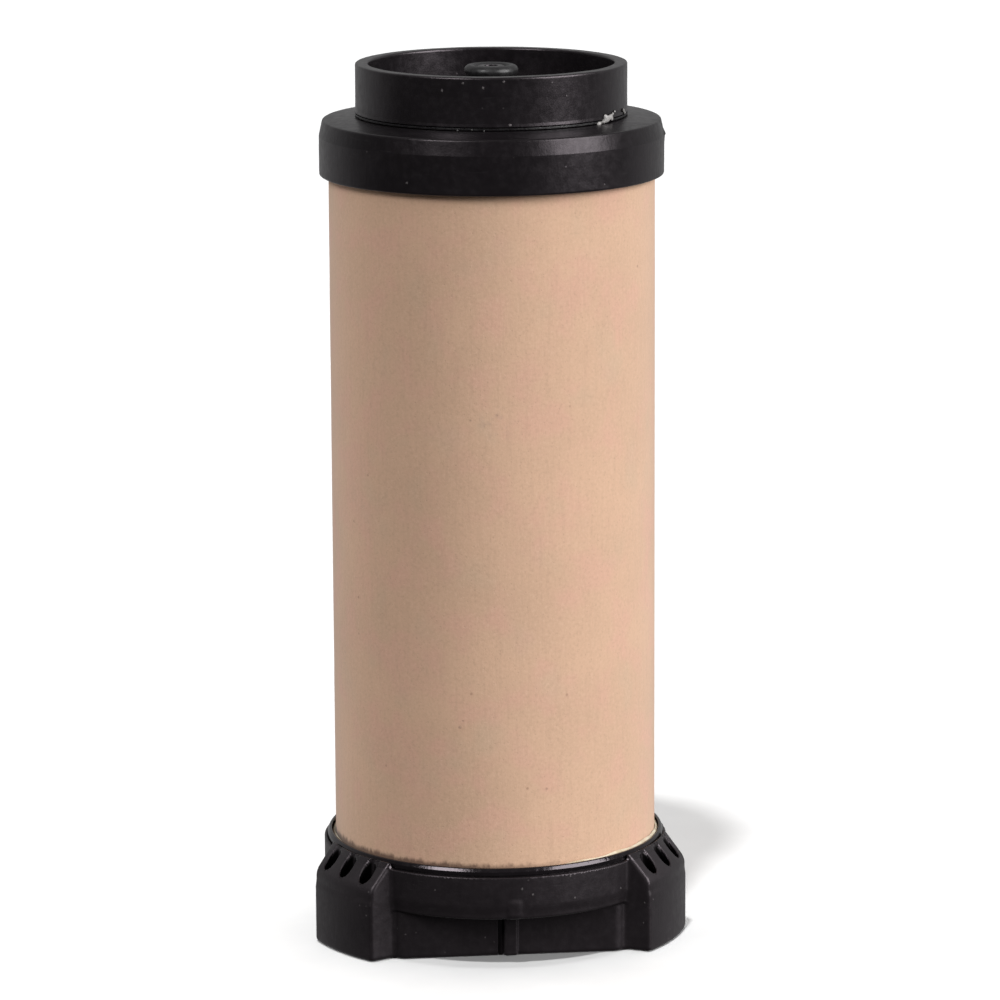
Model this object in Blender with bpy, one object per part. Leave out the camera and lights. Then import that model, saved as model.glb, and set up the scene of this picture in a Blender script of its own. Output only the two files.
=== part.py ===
"""Replaceable ceramic and carbon cartridge of a hand-pump water filter.

The cartridge stands on its three-lug base, +Z up, with the origin on its own axis
at the underside of the base. A porous ceramic tube is potted into a black cap at
each end. Raw water soaks inwards through the tube and its fleece, then through the
carbon core, and leaves through the spigot in the middle of the top collar.
Flat 0 of the base faces -Y, so the lugs point at 60 degrees either side of -Y and at +Y.
"""
import math

import bmesh
import bpy
from mathutils import Vector

# Every length below is in millimetres and becomes metres in the meshes.
MM = 0.001

# Faceting of turned pieces
SIDES_LARGE = 64
SIDES_CORE = 48
SIDES_SMALL = 32

# Clearances between neighbouring pieces
GAP = 0.3
BOND_GAP = 0.15

# Heights of the main levels above the feet
STEP_Z = 7.65
BASE_PLATE_TOP = 9.15
RING_TOP = 14.3
LIP_UNDERSIDE = 14.5
RIM_TOP = 15.6
CAP_MOUTH_Z = 118.73
CAP_CREASE_Z = 124.7
CAP_EDGE_Z = 127.1
CAP_LEDGE_Z = 127.7
WELL_FLOOR_Z = 128.4
COLLAR_TOP = 135.8

# Ceramic tube
CERAMIC_OUTER_R = 25.0
CERAMIC_INNER_R = 17.0

# Potting compound in each cap
POTTING_WALL = 0.35
POTTING_PAD = 0.35
CUP_BORE_R = CERAMIC_OUTER_R + POTTING_WALL + 2 * BOND_GAP

# Lower end cap: the cup that the ceramic tube is potted into
LIP_R = 26.3
CUP_OUTER_R = 26.15
CUP_FLOOR = 1.3
CUP_BOTTOM_Z = BASE_PLATE_TOP + BOND_GAP
CUP_FLOOR_TOP = CUP_BOTTOM_Z + CUP_FLOOR

# Lug base
BASE_BODY_R = 26.3
RING_R = 26.8
RING_BORE_R = CUP_OUTER_R + BOND_GAP
FLAT_DISTANCE = 20.2
FOOT_CHAMFER = 0.6

LUG_COUNT = 3
LUG_R = 30.2
LUG_UPPER_R = 30.05
LUG_STEP_Z = 9.4
LUG_SLOPE_FOOT_Z = 11.4
LUG_INNER_R = LIP_R + GAP
LUG_HALF_WIDTH_TIP = 7.5
LUG_HALF_WIDTH_ROOT = 7.9
LUG_ROOT_R = 24.0
LUG_EDGE_ROUND = 0.9

SLOT_COUNT = 3
SLOT_WIDTH = 2.2
SLOT_PITCH = 4.7
SLOT_INNER = 26.9
SLOT_OUTER = 29.35
SLOT_FLOOR_Z = 2.2

KEY_RIB_WIDTH = 2.2
KEY_RIB_PROUD = 0.85
KEY_NUB_WIDTH = 2.5
KEY_NUB_PROUD = 0.3
KEY_NUB_TOP = 10.9

POCKET_COUNT = 6
POCKET_INNER_R = 6.5
POCKET_OUTER_R = 18.0
POCKET_WEB_HALF = 0.9
POCKET_DEPTH = 7.0

# Outlet cap
CAP_R = 26.4
CAP_EDGE_R = 25.9
CAP_LEDGE_R = 21.3
CAP_BOSS_R = 18.5
CAP_BORE_R = CUP_BORE_R
CAP_MOUTH_CHAMFER = 0.3
CAP_ROOF_UNDERSIDE = 125.3
CAP_PLUG_R = 15.8
CAP_PLUG_BOTTOM = 123.0
COUNTERBORE_R = 6.0
COUNTERBORE_TOP = 126.9

# Collar round the outlet
COLLAR_R = 20.77
COLLAR_FOOT_R = 21.07
COLLAR_BORE_R = 18.8
COLLAR_FOOT_HEIGHT = 0.5
COLLAR_EDGE = 0.3
COLLAR_BOND_THICK = 0.3

# Outlet spigot
STEM_R = 3.9
STEM_TOP = 133.4
NIPPLE_R = 2.1
NIPPLE_TOP = 135.2
NIPPLE_CHAMFER = 0.35
SPIGOT_BORE_R = 1.05
SPIGOT_FLANGE_R = COUNTERBORE_R - GAP
SPIGOT_FLANGE = 1.5

# O-ring on the spigot
ORING_CORD_R = 0.95
ORING_CENTRE_R = 3.2
ORING_TOP = 135.4

# Core stack inside the tube
FLEECE_OUTER_R = 16.7
FLEECE_INNER_R = 15.9
CARBON_R = 15.6
CARBON_BORE_R = 4.0
CORE_GASKET = 2.0
GASKET_HOLE_R = 4.5
FINES_DISC_R = COUNTERBORE_R - GAP
FINES_DISC_THICK = 1.4

# Heights worked out from the levels above
LOWER_PAD_Z = CUP_FLOOR_TOP + BOND_GAP
CERAMIC_BOTTOM = LOWER_PAD_Z + POTTING_PAD + BOND_GAP
UPPER_PAD_TOP = CAP_ROOF_UNDERSIDE - BOND_GAP
CERAMIC_TOP = UPPER_PAD_TOP - POTTING_PAD - BOND_GAP
LOWER_GASKET_Z = CUP_FLOOR_TOP + GAP
CORE_BOTTOM = LOWER_GASKET_Z + CORE_GASKET + GAP
UPPER_GASKET_TOP = CAP_PLUG_BOTTOM - GAP
CORE_TOP = UPPER_GASKET_TOP - CORE_GASKET - GAP
SPIGOT_BOTTOM = COUNTERBORE_TOP - GAP - SPIGOT_FLANGE
FINES_DISC_Z = CAP_PLUG_BOTTOM + BOND_GAP

FRONT = math.radians(-90.0)
FLAT_ANGLES = [FRONT + k * math.tau / LUG_COUNT for k in range(LUG_COUNT)]
LUG_ANGLES = [angle + math.pi / LUG_COUNT for angle in FLAT_ANGLES]

# Colours as linear RGB
BLACK_PLASTIC = (0.016, 0.015, 0.016)
CERAMIC_TAN = (0.60, 0.40, 0.26)
POTTING_CREAM = (0.62, 0.56, 0.44)
BOND_GREY = (0.22, 0.21, 0.20)
RUBBER_BLACK = (0.030, 0.029, 0.030)
CARBON_BLACK = (0.010, 0.010, 0.010)
FLEECE_WHITE = (0.75, 0.74, 0.70)
GASKET_GREY = (0.25, 0.25, 0.24)
POROUS_WHITE = (0.80, 0.80, 0.78)


def clear_scene():
    """Remove every object left in the file."""
    for item in list(bpy.data.objects):
        bpy.data.objects.remove(item, do_unlink=True)


def finish_material(name, colour, roughness):
    """Make one Principled material; no piece of the cartridge is metal."""
    material = bpy.data.materials.new(name)
    material.use_nodes = True
    shader = material.node_tree.nodes["Principled BSDF"]
    shader.inputs["Base Color"].default_value = (*colour, 1.0)
    shader.inputs["Roughness"].default_value = roughness
    shader.inputs["Metallic"].default_value = 0.0
    return material


def add_object(name, bm, material):
    """Turn a bmesh into a smooth-shaded object with sharp corners kept."""
    bmesh.ops.recalc_face_normals(bm, faces=bm.faces)
    mesh = bpy.data.meshes.new(name)
    bm.to_mesh(mesh)
    bm.free()
    mesh.shade_smooth()
    mesh.set_sharp_from_angle(angle=math.radians(30))
    if material:
        mesh.materials.append(material)
    obj = bpy.data.objects.new(name, mesh)
    bpy.context.scene.collection.objects.link(obj)
    return obj


def hide_helper(obj):
    """Mark a cutter or a shape that is only joined into another object."""
    obj.hide_render = True
    obj.display_type = 'WIRE'
    return obj


def add_boolean(obj, helper, operation):
    """Cut or join a helper with the exact solver."""
    modifier = obj.modifiers.new(helper.name, 'BOOLEAN')
    modifier.operation = operation
    modifier.solver = 'EXACT'
    modifier.object = helper


def turned(name, outline, material=None, sides=SIDES_LARGE):
    """Turn a closed (radius, height) outline about Z; radius 0 makes a pole."""
    bm = bmesh.new()
    rings = []
    for radius, height in outline:
        if radius == 0.0:
            rings.append([bm.verts.new((0.0, 0.0, height * MM))])
            continue
        ring = []
        for side in range(sides):
            angle = math.tau * side / sides
            x = radius * math.cos(angle)
            y = radius * math.sin(angle)
            ring.append(bm.verts.new(Vector((x, y, height)) * MM))
        rings.append(ring)
    for index, lower in enumerate(rings):
        upper = rings[(index + 1) % len(rings)]
        if len(lower) == 1 and len(upper) == 1:
            continue
        for side in range(sides):
            step = (side + 1) % sides
            corners = [lower[side % len(lower)], lower[step % len(lower)]]
            corners += [upper[step % len(upper)], upper[side % len(upper)]]
            bm.faces.new(list(dict.fromkeys(corners)))
    return add_object(name, bm, material)


def add_prism(bm, points, bottom, top):
    """Add a vertical prism over a plan outline to a bmesh."""
    lower = [bm.verts.new(Vector((x, y, bottom)) * MM) for x, y in points]
    upper = [bm.verts.new(Vector((x, y, top)) * MM) for x, y in points]
    bm.faces.new(lower)
    bm.faces.new(upper)
    for index in range(len(points)):
        step = (index + 1) % len(points)
        bm.faces.new((lower[index], lower[step], upper[step], upper[index]))


def at_angle(angle, outward, sideways):
    """Plan point a distance outward along a direction and sideways from it."""
    x = outward * math.cos(angle) - sideways * math.sin(angle)
    y = outward * math.sin(angle) + sideways * math.cos(angle)
    return x, y


def arc_points(centre, radius, start, end, count):
    """Points along a circular arc in plan, in degrees, both ends included."""
    points = []
    for index in range(count + 1):
        angle = math.radians(start + (end - start) * index / count)
        points.append((centre[0] + radius * math.cos(angle), centre[1] + radius * math.sin(angle)))
    return points


def ring_outline(inner, outer, bottom, top):
    """Rectangular section of a plain ring."""
    return [(inner, bottom), (outer, bottom), (outer, top), (inner, top)]


def disc_outline(radius, bottom, top):
    """Section of a plain disc."""
    return [(0.0, bottom), (radius, bottom), (radius, top), (0.0, top)]


def make_ceramic_tube(material):
    outline = ring_outline(CERAMIC_INNER_R, CERAMIC_OUTER_R, CERAMIC_BOTTOM, CERAMIC_TOP)
    turned("ceramic_tube", outline, material)


def make_core_stack(fleece, carbon, gasket):
    """Fleece sleeve, carbon block and the soft pads that seal the block's ends."""
    sleeve = ring_outline(FLEECE_INNER_R, FLEECE_OUTER_R, CORE_BOTTOM, CORE_TOP)
    turned("fleece_sleeve", sleeve, fleece, SIDES_CORE)
    block = ring_outline(CARBON_BORE_R, CARBON_R, CORE_BOTTOM, CORE_TOP)
    turned("carbon_core", block, carbon, SIDES_CORE)
    lower = disc_outline(CARBON_R, LOWER_GASKET_Z, LOWER_GASKET_Z + CORE_GASKET)
    turned("core_bottom_gasket", lower, gasket, SIDES_CORE)
    upper = ring_outline(GASKET_HOLE_R, CARBON_R, UPPER_GASKET_TOP - CORE_GASKET, UPPER_GASKET_TOP)
    turned("core_top_gasket", upper, gasket, SIDES_CORE)


def make_fines_disc(material):
    """Porous disc that keeps carbon dust out of the spigot."""
    outline = disc_outline(FINES_DISC_R, FINES_DISC_Z, FINES_DISC_Z + FINES_DISC_THICK)
    turned("fines_disc", outline, material, SIDES_SMALL)


def make_potting_rings(material):
    """L-section rings of potting compound under and round each end of the tube."""
    pad_inner = CERAMIC_INNER_R + GAP
    wall_inner = CERAMIC_OUTER_R + BOND_GAP
    wall_outer = wall_inner + POTTING_WALL
    lower_wall_top = RIM_TOP - GAP
    lower = [
        (pad_inner, LOWER_PAD_Z),
        (wall_outer, LOWER_PAD_Z),
        (wall_outer, lower_wall_top),
        (wall_inner, lower_wall_top),
        (wall_inner, LOWER_PAD_Z + POTTING_PAD),
        (pad_inner, LOWER_PAD_Z + POTTING_PAD),
    ]
    turned("lower_potting_ring", lower, material)
    upper_wall_bottom = CAP_MOUTH_Z + 2 * GAP
    upper = [
        (pad_inner, UPPER_PAD_TOP - POTTING_PAD),
        (wall_inner, UPPER_PAD_TOP - POTTING_PAD),
        (wall_inner, upper_wall_bottom),
        (wall_outer, upper_wall_bottom),
        (wall_outer, UPPER_PAD_TOP),
        (pad_inner, UPPER_PAD_TOP),
    ]
    turned("upper_potting_ring", upper, material)


def make_lower_end_cap(material):
    """Cup whose lip shows above the seam of the lug base."""
    lip_edge = 0.25
    outline = [
        (0.0, CUP_BOTTOM_Z),
        (CUP_OUTER_R, CUP_BOTTOM_Z),
        (CUP_OUTER_R, LIP_UNDERSIDE),
        (LIP_R, LIP_UNDERSIDE),
        (LIP_R, RIM_TOP - lip_edge),
        (LIP_R - lip_edge, RIM_TOP),
        (CUP_BORE_R, RIM_TOP),
        (CUP_BORE_R, CUP_FLOOR_TOP),
        (0.0, CUP_FLOOR_TOP),
    ]
    turned("lower_end_cap", outline, material)


def base_body(material):
    """Round body of the base: foot, step, thin ring and the plate under the cup."""
    outline = [
        (0.0, 0.0),
        (BASE_BODY_R - FOOT_CHAMFER, 0.0),
        (BASE_BODY_R, FOOT_CHAMFER),
        (BASE_BODY_R, STEP_Z),
        (RING_R, STEP_Z),
        (RING_R, RING_TOP),
        (RING_BORE_R, RING_TOP),
        (RING_BORE_R, BASE_PLATE_TOP),
        (0.0, BASE_PLATE_TOP),
    ]
    return turned("lug_base", outline, material)


def flats_cutter():
    """Three blocks that trim the foot to its flats, up to the step."""
    bm = bmesh.new()
    reach = 12.0
    half_length = math.sqrt(BASE_BODY_R ** 2 - FLAT_DISTANCE ** 2) + 1.0
    for angle in FLAT_ANGLES:
        points = [
            at_angle(angle, FLAT_DISTANCE, -half_length),
            at_angle(angle, FLAT_DISTANCE + reach, -half_length),
            at_angle(angle, FLAT_DISTANCE + reach, half_length),
            at_angle(angle, FLAT_DISTANCE, half_length),
        ]
        add_prism(bm, points, -1.0, STEP_Z)
    return hide_helper(add_object("flats_cutter", bm, None))


def lug_wedges():
    """Plan wedges that keep the three lugs out of the turned lug ring."""
    bm = bmesh.new()
    beyond = LUG_R + 1.0
    for angle in LUG_ANGLES:
        points = [
            at_angle(angle, LUG_ROOT_R - 1.0, -LUG_HALF_WIDTH_ROOT),
            at_angle(angle, beyond, -LUG_HALF_WIDTH_TIP),
            at_angle(angle, beyond, LUG_HALF_WIDTH_TIP),
            at_angle(angle, LUG_ROOT_R - 1.0, LUG_HALF_WIDTH_ROOT),
        ]
        add_prism(bm, points, -1.0, RIM_TOP + 1.0)
    return hide_helper(add_object("lug_wedges", bm, None))


def lug_ring():
    """Turned ring with the lugs' section, cut down to three lugs by the wedges."""
    bottom_edge = arc_points(
        (LUG_R - LUG_EDGE_ROUND, LUG_EDGE_ROUND), LUG_EDGE_ROUND, -90.0, 0.0, 3)
    outline = [(LUG_ROOT_R, 0.0)]
    outline += bottom_edge
    outline += [
        (LUG_R, LUG_STEP_Z),
        (LUG_UPPER_R, LUG_STEP_Z),
        (LUG_UPPER_R, LUG_SLOPE_FOOT_Z),
        (LUG_INNER_R + 0.15, RIM_TOP - 0.2),
        (LUG_INNER_R, RIM_TOP - 0.2),
        (LUG_INNER_R, STEP_Z + 0.3),
        (LUG_ROOT_R, STEP_Z + 0.3),
    ]
    ring = hide_helper(turned("lug_ring", outline, None, 2 * SIDES_LARGE))
    add_boolean(ring, lug_wedges(), 'INTERSECT')
    return ring


def key_ribs():
    """A rib down the middle of each flat and a nub above it on the ring."""
    bm = bmesh.new()
    for angle in FLAT_ANGLES:
        for half, inner, outer, bottom, top in (
                (KEY_RIB_WIDTH / 2, FLAT_DISTANCE - 1.0, FLAT_DISTANCE + KEY_RIB_PROUD,
                 GAP, STEP_Z + 0.4),
                (KEY_NUB_WIDTH / 2, RING_R - 0.3, RING_R + KEY_NUB_PROUD,
                 STEP_Z + 0.1, KEY_NUB_TOP)):
            points = [
                at_angle(angle, inner, -half),
                at_angle(angle, outer, -half),
                at_angle(angle, outer, half),
                at_angle(angle, inner, half),
            ]
            add_prism(bm, points, bottom, top)
    return hide_helper(add_object("key_ribs", bm, None))


def slots_cutter():
    """Round-ended slots sunk into the slope of each lug, with their ends on two circles."""
    bm = bmesh.new()
    radius = SLOT_WIDTH / 2
    for slot in range(SLOT_COUNT):
        shift = (slot - (SLOT_COUNT - 1) / 2) * SLOT_PITCH
        outer = math.sqrt(SLOT_OUTER ** 2 - shift ** 2)
        inner = math.sqrt(SLOT_INNER ** 2 - shift ** 2)
        outline = arc_points((outer - radius, shift), radius, -90.0, 90.0, 6)
        outline += arc_points((inner + radius, shift), radius, 90.0, 270.0, 6)
        for angle in LUG_ANGLES:
            points = [at_angle(angle, out, side) for out, side in outline]
            add_prism(bm, points, SLOT_FLOOR_Z, RIM_TOP + 1.0)
    return hide_helper(add_object("slots_cutter", bm, None))


def pockets_cutter():
    """Six sector pockets under the base, which leave a hub and six webs."""
    bm = bmesh.new()
    sector = 360.0 / POCKET_COUNT
    outer_trim = math.degrees(math.asin(POCKET_WEB_HALF / POCKET_OUTER_R))
    inner_trim = math.degrees(math.asin(POCKET_WEB_HALF / POCKET_INNER_R))
    for index in range(POCKET_COUNT):
        start = math.degrees(FRONT) + index * sector
        end = start + sector
        outer = arc_points((0, 0), POCKET_OUTER_R, start + outer_trim, end - outer_trim, 8)
        inner = arc_points((0, 0), POCKET_INNER_R, end - inner_trim, start + inner_trim, 4)
        add_prism(bm, outer + inner, -1.0, POCKET_DEPTH)
    return hide_helper(add_object("pockets_cutter", bm, None))


def make_lug_base(material):
    """Outer moulding: foot with three flats, three slotted lugs and ribbed underside."""
    base = base_body(material)
    add_boolean(base, flats_cutter(), 'DIFFERENCE')
    add_boolean(base, lug_ring(), 'UNION')
    add_boolean(base, key_ribs(), 'UNION')
    add_boolean(base, slots_cutter(), 'DIFFERENCE')
    add_boolean(base, pockets_cutter(), 'DIFFERENCE')


def make_outlet_cap(material):
    """Upper cap: skirt over the tube, plug into it and a boss inside the collar."""
    hole_r = STEM_R + BOND_GAP
    outline = [
        (hole_r, COUNTERBORE_TOP),
        (COUNTERBORE_R, COUNTERBORE_TOP),
        (COUNTERBORE_R, CAP_PLUG_BOTTOM),
        (CAP_PLUG_R, CAP_PLUG_BOTTOM),
        (CAP_PLUG_R, CAP_ROOF_UNDERSIDE),
        (CAP_BORE_R, CAP_ROOF_UNDERSIDE),
        (CAP_BORE_R, CAP_MOUTH_Z),
        (CAP_R - CAP_MOUTH_CHAMFER, CAP_MOUTH_Z),
        (CAP_R, CAP_MOUTH_Z + CAP_MOUTH_CHAMFER),
        (CAP_R, CAP_CREASE_Z),
        (CAP_EDGE_R, CAP_EDGE_Z),
        (CAP_LEDGE_R, CAP_LEDGE_Z),
        (CAP_BOSS_R, CAP_LEDGE_Z),
        (CAP_BOSS_R, WELL_FLOOR_Z),
        (hole_r, WELL_FLOOR_Z),
    ]
    turned("outlet_cap", outline, material)


def make_collar(plastic, bond):
    """Upright collar round the outlet, and the bond line that it stands on."""
    bond_bottom = CAP_LEDGE_Z + BOND_GAP
    bond_top = bond_bottom + COLLAR_BOND_THICK
    line = ring_outline(COLLAR_BORE_R + BOND_GAP, COLLAR_FOOT_R + BOND_GAP, bond_bottom, bond_top)
    turned("collar_bond", line, bond)
    foot = bond_top + BOND_GAP
    outline = [
        (COLLAR_BORE_R, foot),
        (COLLAR_FOOT_R, foot),
        (COLLAR_FOOT_R, foot + COLLAR_FOOT_HEIGHT),
        (COLLAR_R, foot + COLLAR_FOOT_HEIGHT + COLLAR_EDGE),
        (COLLAR_R, COLLAR_TOP - COLLAR_EDGE),
        (COLLAR_R - COLLAR_EDGE, COLLAR_TOP),
        (COLLAR_BORE_R + COLLAR_EDGE, COLLAR_TOP),
        (COLLAR_BORE_R, COLLAR_TOP - COLLAR_EDGE),
    ]
    turned("outlet_collar", outline, plastic)


def make_spigot(material):
    """Stepped outlet tube, fitted from below so its flange bears on the cap."""
    flange_top = SPIGOT_BOTTOM + SPIGOT_FLANGE
    outline = [
        (SPIGOT_BORE_R, SPIGOT_BOTTOM),
        (SPIGOT_FLANGE_R, SPIGOT_BOTTOM),
        (SPIGOT_FLANGE_R, flange_top),
        (STEM_R, flange_top),
        (STEM_R, STEM_TOP),
        (NIPPLE_R, STEM_TOP),
        (NIPPLE_R, NIPPLE_TOP - NIPPLE_CHAMFER),
        (NIPPLE_R - NIPPLE_CHAMFER, NIPPLE_TOP),
        (SPIGOT_BORE_R, NIPPLE_TOP),
    ]
    turned("outlet_spigot", outline, material, SIDES_SMALL)


def make_spigot_oring(material):
    """O-ring round the nipple, lying on the shoulder of the stem."""
    centre = (ORING_CENTRE_R, ORING_TOP - ORING_CORD_R)
    section = arc_points(centre, ORING_CORD_R, 0.0, 360.0, 10)
    turned("spigot_oring", section[:-1], material, SIDES_SMALL)


def main():
    clear_scene()
    plastic = finish_material("black_plastic", BLACK_PLASTIC, 0.42)
    base_plastic = finish_material("base_plastic", BLACK_PLASTIC, 0.45)
    ceramic = finish_material("ceramic", CERAMIC_TAN, 0.85)
    potting = finish_material("potting", POTTING_CREAM, 0.5)
    bond = finish_material("collar_bond", BOND_GREY, 0.5)
    rubber = finish_material("oring_rubber", RUBBER_BLACK, 0.35)
    carbon = finish_material("carbon", CARBON_BLACK, 0.9)
    fleece = finish_material("fleece", FLEECE_WHITE, 0.95)
    gasket = finish_material("core_gasket", GASKET_GREY, 0.9)
    porous = finish_material("porous_disc", POROUS_WHITE, 0.9)

    make_ceramic_tube(ceramic)
    make_core_stack(fleece, carbon, gasket)
    make_fines_disc(porous)
    make_potting_rings(potting)
    make_lower_end_cap(plastic)
    make_lug_base(base_plastic)
    make_outlet_cap(plastic)
    make_collar(plastic, bond)
    make_spigot(plastic)
    make_spigot_oring(rubber)


main()
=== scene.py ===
"""Looks of the pump water filter cartridge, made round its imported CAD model.

Every visible CAD node is replaced by a finely turned or moulded mesh of about its size.
The pieces inside keep their CAD meshes and get a material of their own.
Lengths are in millimetres and become metres in the meshes.
"""

import math

import bpy
import numpy as np
from mathutils import Matrix, Vector, noise


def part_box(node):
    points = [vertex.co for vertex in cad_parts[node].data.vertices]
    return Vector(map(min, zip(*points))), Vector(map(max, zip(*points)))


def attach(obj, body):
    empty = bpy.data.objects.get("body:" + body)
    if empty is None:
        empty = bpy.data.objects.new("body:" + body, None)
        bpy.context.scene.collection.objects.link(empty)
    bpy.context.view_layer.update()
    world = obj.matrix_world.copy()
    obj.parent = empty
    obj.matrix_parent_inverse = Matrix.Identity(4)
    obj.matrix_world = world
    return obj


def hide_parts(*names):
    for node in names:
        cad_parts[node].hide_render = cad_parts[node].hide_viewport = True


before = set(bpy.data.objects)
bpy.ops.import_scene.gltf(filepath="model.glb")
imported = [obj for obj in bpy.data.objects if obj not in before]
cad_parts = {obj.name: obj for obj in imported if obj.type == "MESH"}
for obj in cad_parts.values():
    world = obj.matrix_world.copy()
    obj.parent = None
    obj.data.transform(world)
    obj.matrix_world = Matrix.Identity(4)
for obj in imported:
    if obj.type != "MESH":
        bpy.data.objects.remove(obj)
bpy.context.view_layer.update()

MM = 0.001
FRONT = math.radians(-90.0)

# Camera, as it stands round the cartridge
CAMERA_TURN = math.radians(-6.4)
CAMERA_DISTANCE = 765.7
CAMERA_SIDE = 1.02
CAMERA_ABOVE_RIM = 208.97
CAMERA_PITCH = math.radians(11.59)
CAMERA_ROLL = math.radians(-0.292)
CAMERA_LENS = 181.39

# Lamps: name, degrees to the right of the camera, elevation, strength, spread
OBJECT_LAMPS = (
    ("key", 62.0, 24.0, 3.7, 43.0),
    ("fill", -38.0, 36.0, 1.52, 24.0),
)
BACK_LAMPS = (
    ("back_left", -110.0, 22.0, 1.1, 60.0),
    ("back_right", 112.0, 22.0, 0.7, 60.0),
)
FLOOR_LAMPS = (
    ("shadow", -16.0, 67.0, 2.2, 4.0),
    ("contact", 180.0, 88.0, 1.5, 16.0),
    ("floor_front", 0.0, 20.0, 2.5, 5.0),
)

# Surroundings: direction axis, start and end on it, strength there
WORLD_RAMPS = (("Y", -0.2, 0.6, 0.08, 0.45), ("Z", 0.3, 0.9, 0.0, 0.15))
WORLD_SEEN = 1.05
FLOOR_HALF = 4000.0

# Faceting and surface sampling
SIDES = 288
SIDES_SMALL = 128
ARC_STEPS = 5
SUPPORT = 0.12
LONGEST_STEP = 1.6
BASE_GRID = 0.22
BASE_KEEP = 0.35
BEAD_GRID = 0.1


def turned_size(node):
    """Outer radius, bottom and top of a turned CAD node, in mm."""
    low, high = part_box(node)
    return high.x / MM, low.z / MM, high.z / MM


# Sizes read from the frame
CERAMIC_R, CERAMIC_BOTTOM, CERAMIC_TOP = turned_size("ceramic_tube")
CAP_R, CAP_BOTTOM, WELL_FLOOR = turned_size("outlet_cap")
_, COLLAR_BOTTOM, COLLAR_TOP = turned_size("outlet_collar")
_, BOND_BOTTOM, BOND_TOP = turned_size("collar_bond")
FLANGE_R, SPIGOT_BOTTOM, NIPPLE_TOP = turned_size("outlet_spigot")
ORING_R, ORING_BOTTOM, ORING_TOP = turned_size("spigot_oring")
LIP_R, CUP_BOTTOM, RIM_TOP = turned_size("lower_end_cap")
POTTING_R, LOWER_PAD, POTTING_TOP = turned_size("lower_potting_ring")
UPPER_POTTING_R, UPPER_POTTING_BOTTOM, UPPER_PAD = turned_size("upper_potting_ring")

# Ceramic tube and potting
CERAMIC_BORE_R = 17.0
CUP_BORE_R = 25.65
CUP_OUTER_R = 26.15
CUP_FLOOR_TOP = 10.6
LIP_UNDERSIDE = 14.5
PAD_THICK = 0.35
PAD_INNER_R = 17.3
POTTING_BORE_R = 25.06
POTTING_RISE = 0.62
POTTING_HIGH_SIDE = math.radians(-36.0)
POTTING_HIGH_WIDTH = 0.7
LIP_GLOSS = 0.16

# Reflection tints of the black plastic: open walls, the cap's taper, and the slots, where the
# near-zero tint is painted shade that dims reflections
PLASTIC_GLOSS = (1.0, 0.88, 0.95)
TAPER_GLOSS = (0.60, 0.53, 0.57)
SLOT_SHADE_GLOSS = (0.06, 0.053, 0.057)

# Outlet cap
CAP_CREASE = 124.7
CAP_EDGE_R = 25.9
CAP_EDGE = 127.1
CAP_LEDGE_R = 21.3
CAP_LEDGE = 127.7
CAP_BOSS_R = 18.5
CAP_HOLE_R = 4.05
COUNTERBORE_R = 6.0
COUNTERBORE_TOP = 126.9
CAP_PLUG_R = 15.8
CAP_PLUG_BOTTOM = 123.0
CAP_ROOF = 125.3
BURR_ANGLE = FRONT + CAMERA_TURN + math.radians(86.0)
BURR_HEIGHT = 125.0
BURR_PROUD = 0.34
BURR_WIDTH = 0.45

# Collar, spigot and O-ring
COLLAR_R = 20.77
COLLAR_BORE_R = 18.8
COLLAR_FOOT = 0.5
STEM_R = 3.9
STEM_TOP = 133.4
NIPPLE_R = 2.1
SPIGOT_BORE_R = 1.05
SPIGOT_FLANGE = 1.5
ORING_STEPS = 40
ORING_FLASH = 0.012

# Lug base
BASE_R = 26.3
RING_R = 26.8
RING_TOP = 14.3
RING_TAPER = 0.22
STEP = 7.65
PLATE_TOP = 9.15
FLAT_DISTANCE = 20.2
FLAT_PERIOD = math.tau / 3
LUG_R = 30.2
LUG_UPPER_R = 30.05
LUG_STEP = 9.4
LUG_SLOPE_FOOT = 11.4
LUG_TOP_R = 26.75
LUG_TOP = 15.4
LUG_INNER_R = 26.6
LUG_HALF_TIP = 7.5
LUG_HALF_ROOT = 7.9
LUG_ROOT_R = 23.0
SLOT_HALF = 1.1
SLOT_PITCH = 4.7
SLOT_DEEP_R = 26.95
SLOT_OUTER = 29.35
SLOT_FLOOR = 2.2
RIB_HALF = 1.1
RIB_PROUD = 0.85
RIB_BOTTOM = 0.3
GROOVE_HALF = 0.36
GROOVE_DEPTH = 0.55
GROOVE_SINK = 0.4
NUB_HALF = 1.25
NUB_PROUD = 0.1
NUB_TOP = 10.9
POCKET_INNER_R = 6.5
POCKET_OUTER_R = 18.0
POCKET_DEPTH = 7.0
WEB_HALF = 0.7
WEB_DRAFT = 0.05
DISH_R = 2.3
DISH_DEPTH = 0.35
GATE_R = 0.6
GATE_BOTTOM = 0.12
BOTTOM_ROUND = 0.8


# ---------------------------------------------------------------- meshes

def new_object(name, verts, faces, smooth=True):
    """Object with a mesh from points in mm."""
    mesh = bpy.data.meshes.new(name)
    mesh.from_pydata((np.asarray(verts) * MM).tolist(), [], faces)
    mesh.validate()
    if smooth:
        mesh.shade_smooth()
    obj = bpy.data.objects.new(name, mesh)
    bpy.context.scene.collection.objects.link(obj)
    return obj


def rounded(corners):
    """Outline in (radius, height) whose (radius, height, round) corners become arcs."""
    count = len(corners)
    points = []
    for index, (x, y, radius) in enumerate(corners):
        here = Vector((x, y))
        before = Vector(corners[index - 1][:2]) - here
        after = Vector(corners[(index + 1) % count][:2]) - here
        if radius <= 0.0:
            points.append(here)
            continue
        half = before.angle(after) / 2
        reach = min(radius / math.tan(half), 0.45 * before.length, 0.45 * after.length)
        start = here + before.normalized() * reach
        end = here + after.normalized() * reach
        for step in range(ARC_STEPS + 1):
            t = step / ARC_STEPS
            points.append((1 - t) ** 2 * start + 2 * t * (1 - t) * here + t * t * end)
    return points


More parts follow.
